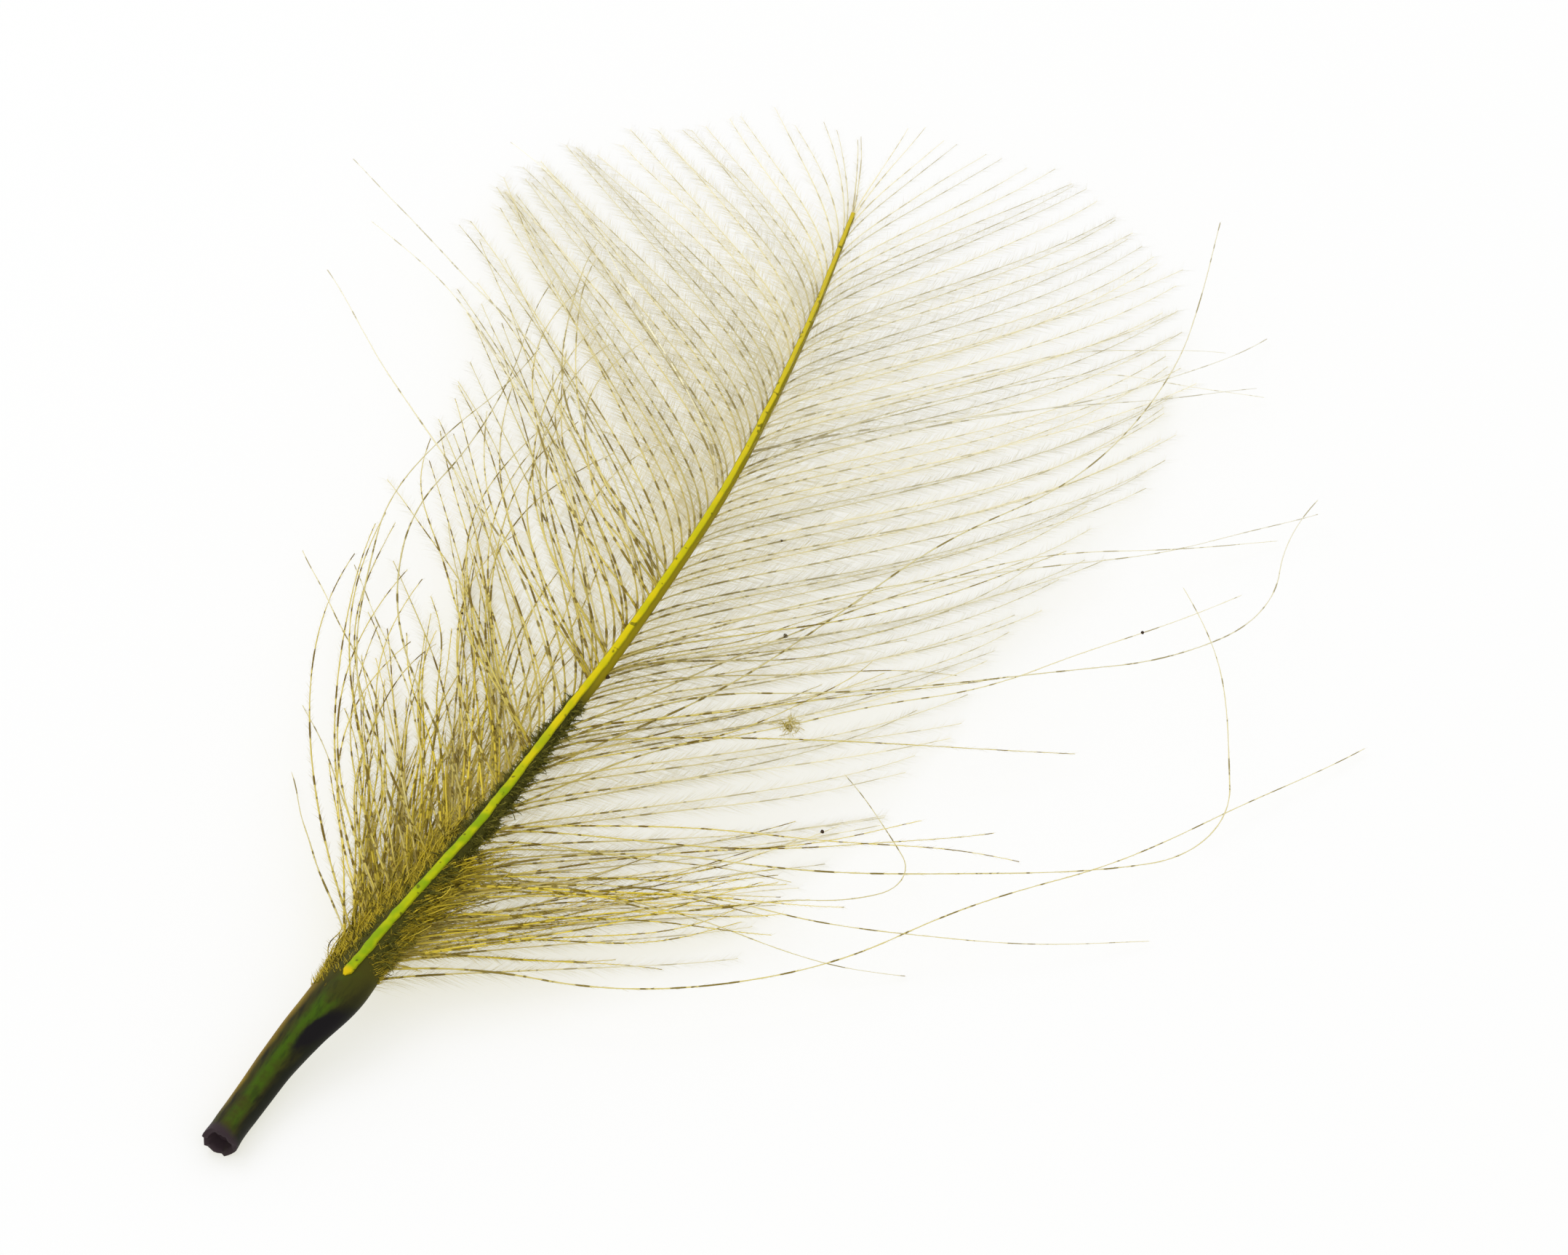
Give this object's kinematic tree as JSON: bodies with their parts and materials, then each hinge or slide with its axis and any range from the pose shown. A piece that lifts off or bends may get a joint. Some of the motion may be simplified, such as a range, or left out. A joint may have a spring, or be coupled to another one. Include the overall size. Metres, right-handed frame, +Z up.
{
  "type": "cul de canard feather",
  "caption": "Small soft duck feather with a bare quill, a curved shaft, open vanes of fine olive barbs and long stray barbs, lying on its barb tips.",
  "frame": {"origin": "under the quill near its cut end, in the middle of the short flat on which the quill lies", "axes": "+Y from the cut end of the quill to the feather's tip, +Z up from the surface it lies on, +X towards the wider vane with the longest stray barbs"},
  "size_m": [0.0362, 0.0436, 0.004],
  "materials": {
    "feather": "matte",
    "quill": "satin",
    "ridge": "satin"
  },
  "bodies": {
    "root": {"feather": "feather"}
  },
  "joints": []
}
